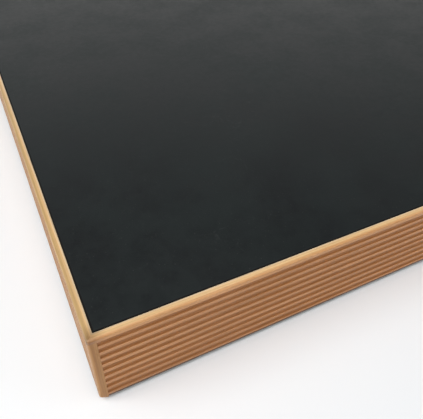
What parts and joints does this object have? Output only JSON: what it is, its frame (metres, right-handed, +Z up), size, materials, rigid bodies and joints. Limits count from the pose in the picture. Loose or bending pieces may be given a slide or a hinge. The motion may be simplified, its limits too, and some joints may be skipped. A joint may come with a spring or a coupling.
{
  "type": "stage riser platform",
  "caption": "Low square stage riser with a black deck sheet, light hardwood edging, grooved side boards on a timber frame, and levelling feet underneath.",
  "frame": {"origin": "on the floor, under the middle of the deck, with the levelling feet wound right in", "axes": "+X along the front to the right, +Y to the rear, +Z up"},
  "size_m": [1.2192, 1.2192, 0.119],
  "materials": {
    "deck_black": "matte phenolic-faced sheet, finely mottled",
    "plywood": "birch plywood, bare",
    "hardwood": "light hardwood, clear satin lacquer",
    "hardwood_grooved": "light hardwood, grooves toned red-brown, satin lacquer",
    "softwood": "planed softwood, bare",
    "zinc_steel": "bright zinc plating",
    "black_nylon": "moulded glass-filled nylon",
    "black_rubber": "moulded rubber"
  },
  "bodies": {
    "platform": {"deck_sheet": "deck_black", "deck_plywood": "plywood", "deck_screws": "zinc_steel", "edging_front": "hardwood", "side_board_front": "hardwood_grooved", "rail_front": "softwood", "edging_rear": "hardwood", "side_board_rear": "hardwood_grooved", "rail_rear": "softwood", "edging_left": "hardwood", "side_board_left": "hardwood_grooved", "rail_left": "softwood", "edging_right": "hardwood", "side_board_right": "hardwood_grooved", "rail_right": "softwood", "joist_1": "softwood", "joist_2": "softwood", "corner_post_front_left": "hardwood", "corner_block_front_left": "softwood", "foot_insert_front_left": "zinc_steel", "corner_post_front_right": "hardwood", "corner_block_front_right": "softwood", "foot_insert_front_right": "zinc_steel", "corner_post_rear_left": "hardwood", "corner_block_rear_left": "softwood", "foot_insert_rear_left": "zinc_steel", "corner_post_rear_right": "hardwood", "corner_block_rear_right": "softwood", "foot_insert_rear_right": "zinc_steel", "frame_screws": "zinc_steel", "block_screws": "zinc_steel"},
    "pad_front_left": {"foot_pad_front_left": "black_nylon", "foot_sole_front_left": "black_rubber"},
    "stem_front_left": {"foot_stem_front_left": "zinc_steel"},
    "pad_front_right": {"foot_pad_front_right": "black_nylon", "foot_sole_front_right": "black_rubber"},
    "stem_front_right": {"foot_stem_front_right": "zinc_steel"},
    "pad_rear_left": {"foot_pad_rear_left": "black_nylon", "foot_sole_rear_left": "black_rubber"},
    "stem_rear_left": {"foot_stem_rear_left": "zinc_steel"},
    "pad_rear_right": {"foot_pad_rear_right": "black_nylon", "foot_sole_rear_right": "black_rubber"},
    "stem_rear_right": {"foot_stem_rear_right": "zinc_steel"}
  },
  "joints": [
    {"name": "foot_slide_front_left", "type": "slide", "parent": "platform", "child": "pad_front_left", "axis": [0, 0, -1], "range_m": [0, 0.02]},
    {"name": "foot_turn_front_left", "type": "hinge", "parent": "pad_front_left", "child": "stem_front_left", "pos_m": [-0.5185, -0.5185, 0.0125], "axis": [0, 0, -1], "range_deg": [0, 5761]},
    {"name": "foot_slide_front_right", "type": "slide", "parent": "platform", "child": "pad_front_right", "axis": [0, 0, -1], "range_m": [0, 0.02]},
    {"name": "foot_turn_front_right", "type": "hinge", "parent": "pad_front_right", "child": "stem_front_right", "pos_m": [0.5185, -0.5185, 0.0125], "axis": [0, 0, -1], "range_deg": [0, 5761]},
    {"name": "foot_slide_rear_left", "type": "slide", "parent": "platform", "child": "pad_rear_left", "axis": [0, 0, -1], "range_m": [0, 0.02]},
    {"name": "foot_turn_rear_left", "type": "hinge", "parent": "pad_rear_left", "child": "stem_rear_left", "pos_m": [-0.5185, 0.5185, 0.0125], "axis": [0, 0, -1], "range_deg": [0, 5761]},
    {"name": "foot_slide_rear_right", "type": "slide", "parent": "platform", "child": "pad_rear_right", "axis": [0, 0, -1], "range_m": [0, 0.02]},
    {"name": "foot_turn_rear_right", "type": "hinge", "parent": "pad_rear_right", "child": "stem_rear_right", "pos_m": [0.5185, 0.5185, 0.0125], "axis": [0, 0, -1], "range_deg": [0, 5761]}
  ],
  "couplings": [
    {"joint": "foot_turn_front_left", "follows": "foot_slide_front_left", "rad_per_m": 5026.5},
    {"joint": "foot_turn_front_right", "follows": "foot_slide_front_right", "rad_per_m": 5026.5},
    {"joint": "foot_turn_rear_left", "follows": "foot_slide_rear_left", "rad_per_m": 5026.5},
    {"joint": "foot_turn_rear_right", "follows": "foot_slide_rear_right", "rad_per_m": 5026.5}
  ]
}
